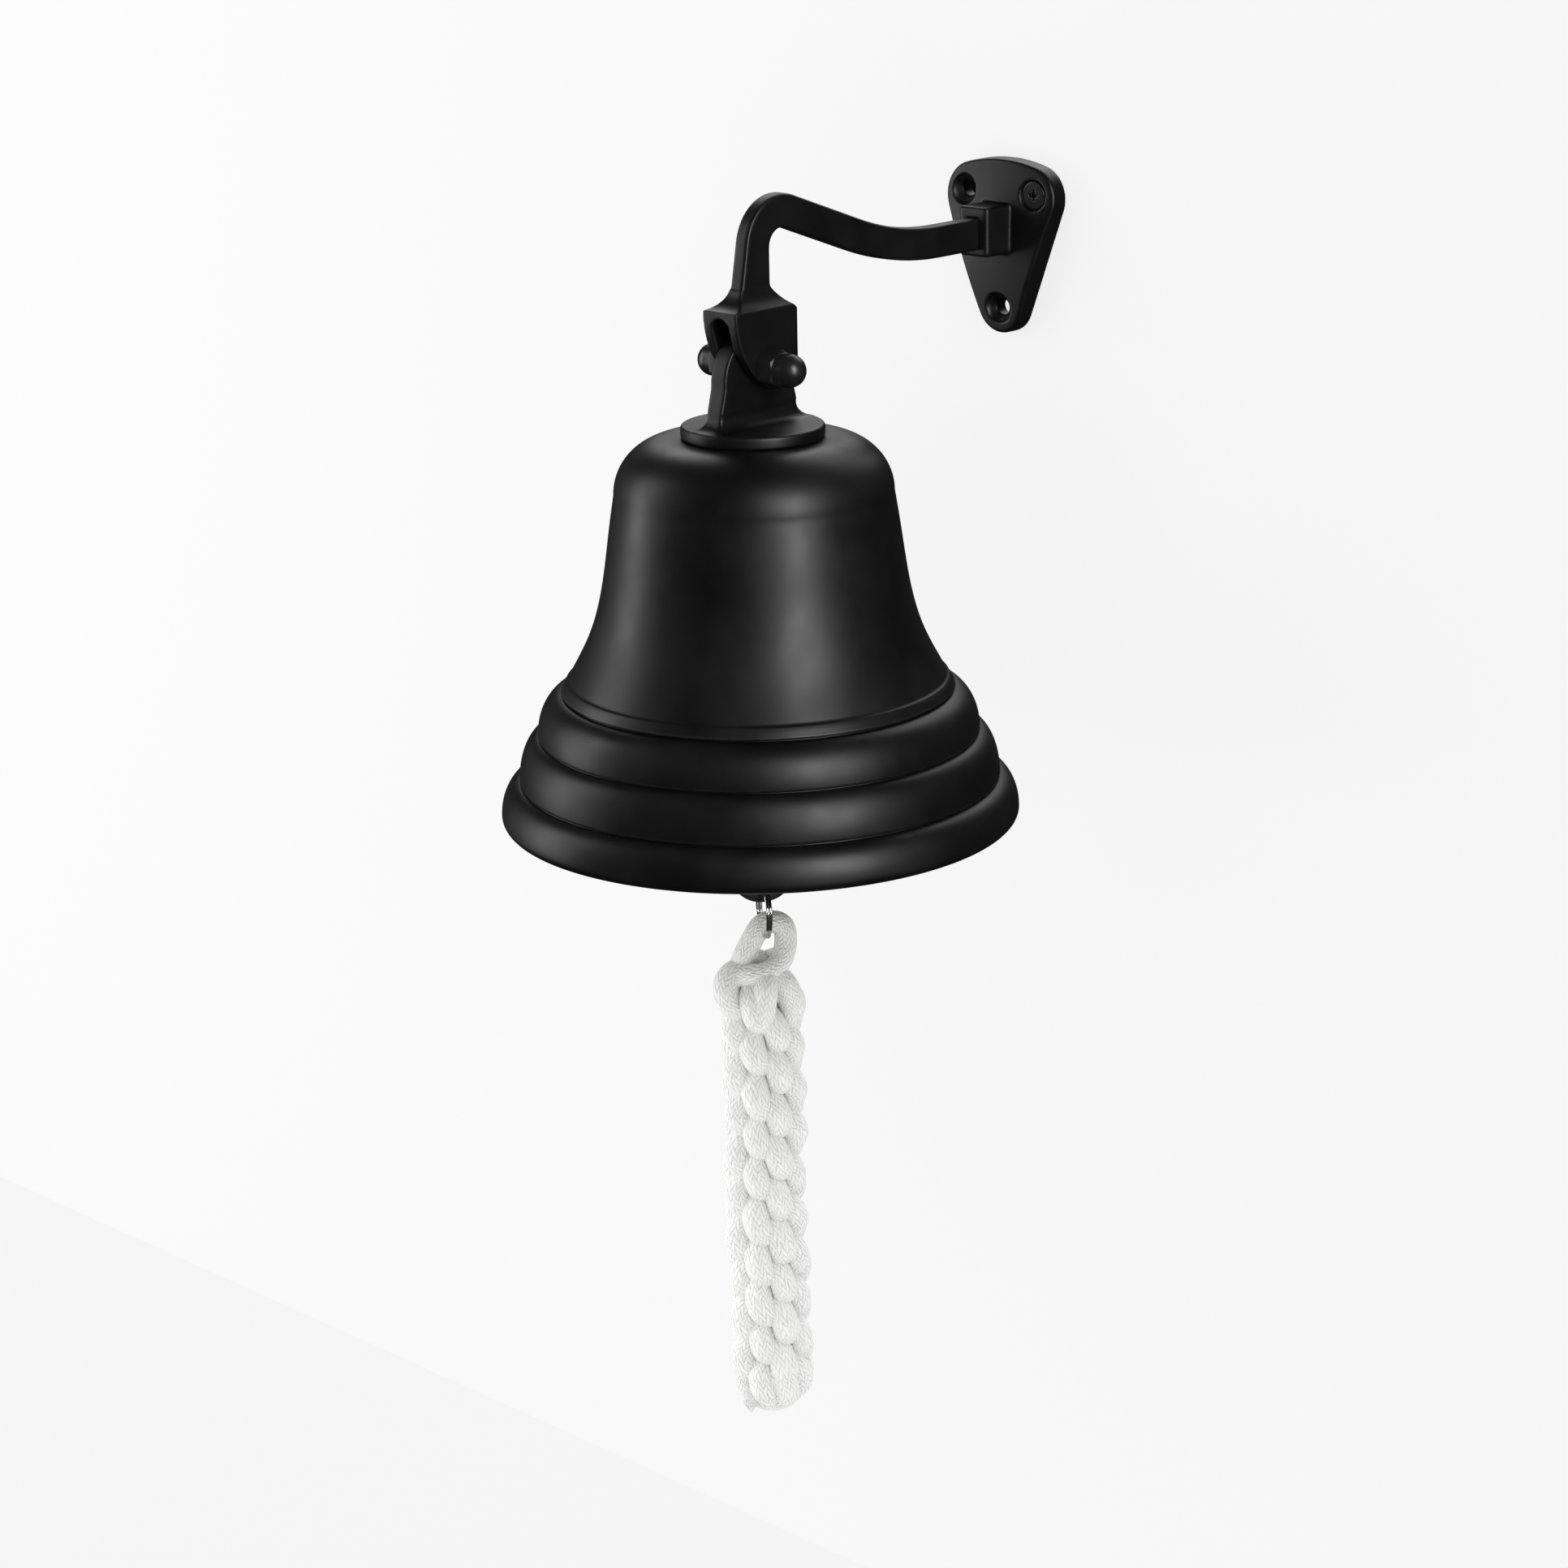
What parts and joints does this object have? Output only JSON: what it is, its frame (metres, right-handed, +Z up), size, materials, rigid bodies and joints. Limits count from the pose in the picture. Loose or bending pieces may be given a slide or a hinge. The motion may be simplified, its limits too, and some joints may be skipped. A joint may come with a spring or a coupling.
{
  "type": "wall-mounted dinner bell",
  "caption": "Black hand bell hung from a swan-neck wall bracket, rung by a braided cord lanyard on its clapper.",
  "frame": {"origin": "the middle of the wall plate's back face, between the arm's screw and the bottom screw hole", "axes": "+Z up, +Y into the wall, +X along the wall to the right as seen from the yard"},
  "size_m": [0.1516, 0.2166, 0.3748],
  "materials": {
    "black_paint": "satin",
    "black_iron": "satin",
    "dark_screw": "satin",
    "zinc_steel": "satin",
    "ring_steel": "polished",
    "white_cord": "matte"
  },
  "bodies": {
    "bracket": {"wall_plate": "black_paint", "wall_screw": "dark_screw", "bracket_arm": "black_paint", "arm_screw": "zinc_steel", "pivot_bolt": "black_iron", "acorn_nut_right": "black_iron", "acorn_nut_left": "black_iron"},
    "bell": {"crown_lug": "black_paint", "bell_body": "black_paint", "crown_washer": "zinc_steel", "crown_nut": "zinc_steel", "crown_eyebolt": "zinc_steel"},
    "link": {"clapper_link": "zinc_steel"},
    "clapper": {"clapper_rod": "black_iron", "clapper_ball": "black_iron"},
    "ring": {"split_ring": "ring_steel"},
    "lanyard": {"lanyard_eye": "white_cord", "lanyard_body": "white_cord", "lanyard_end": "white_cord"}
  },
  "joints": [
    {"name": "bell_swing", "type": "hinge", "parent": "bracket", "child": "bell", "pos_m": [0, -0.115, -0.0136], "axis": [1, 0, 0], "range_deg": [-60, 18]},
    {"name": "clapper_swing", "type": "hinge", "parent": "bell", "child": "link", "pos_m": [0, -0.115, -0.0524], "axis": [0.8192, -0.5736, 0], "range_deg": [-32, 32]},
    {"name": "clapper_tilt", "type": "hinge", "parent": "link", "child": "clapper", "pos_m": [0, -0.115, -0.061], "axis": [0.5736, 0.8192, 0], "range_deg": [-5, 5]},
    {"name": "ring_swing", "type": "hinge", "parent": "clapper", "child": "ring", "pos_m": [0, -0.115, -0.1691], "axis": [0.8192, -0.5736, 0], "range_deg": [-36, 36]},
    {"name": "lanyard_swing", "type": "hinge", "parent": "ring", "child": "lanyard", "pos_m": [0, -0.115, -0.1809], "axis": [0.5736, 0.8192, 0], "range_deg": [-36, 36]}
  ]
}
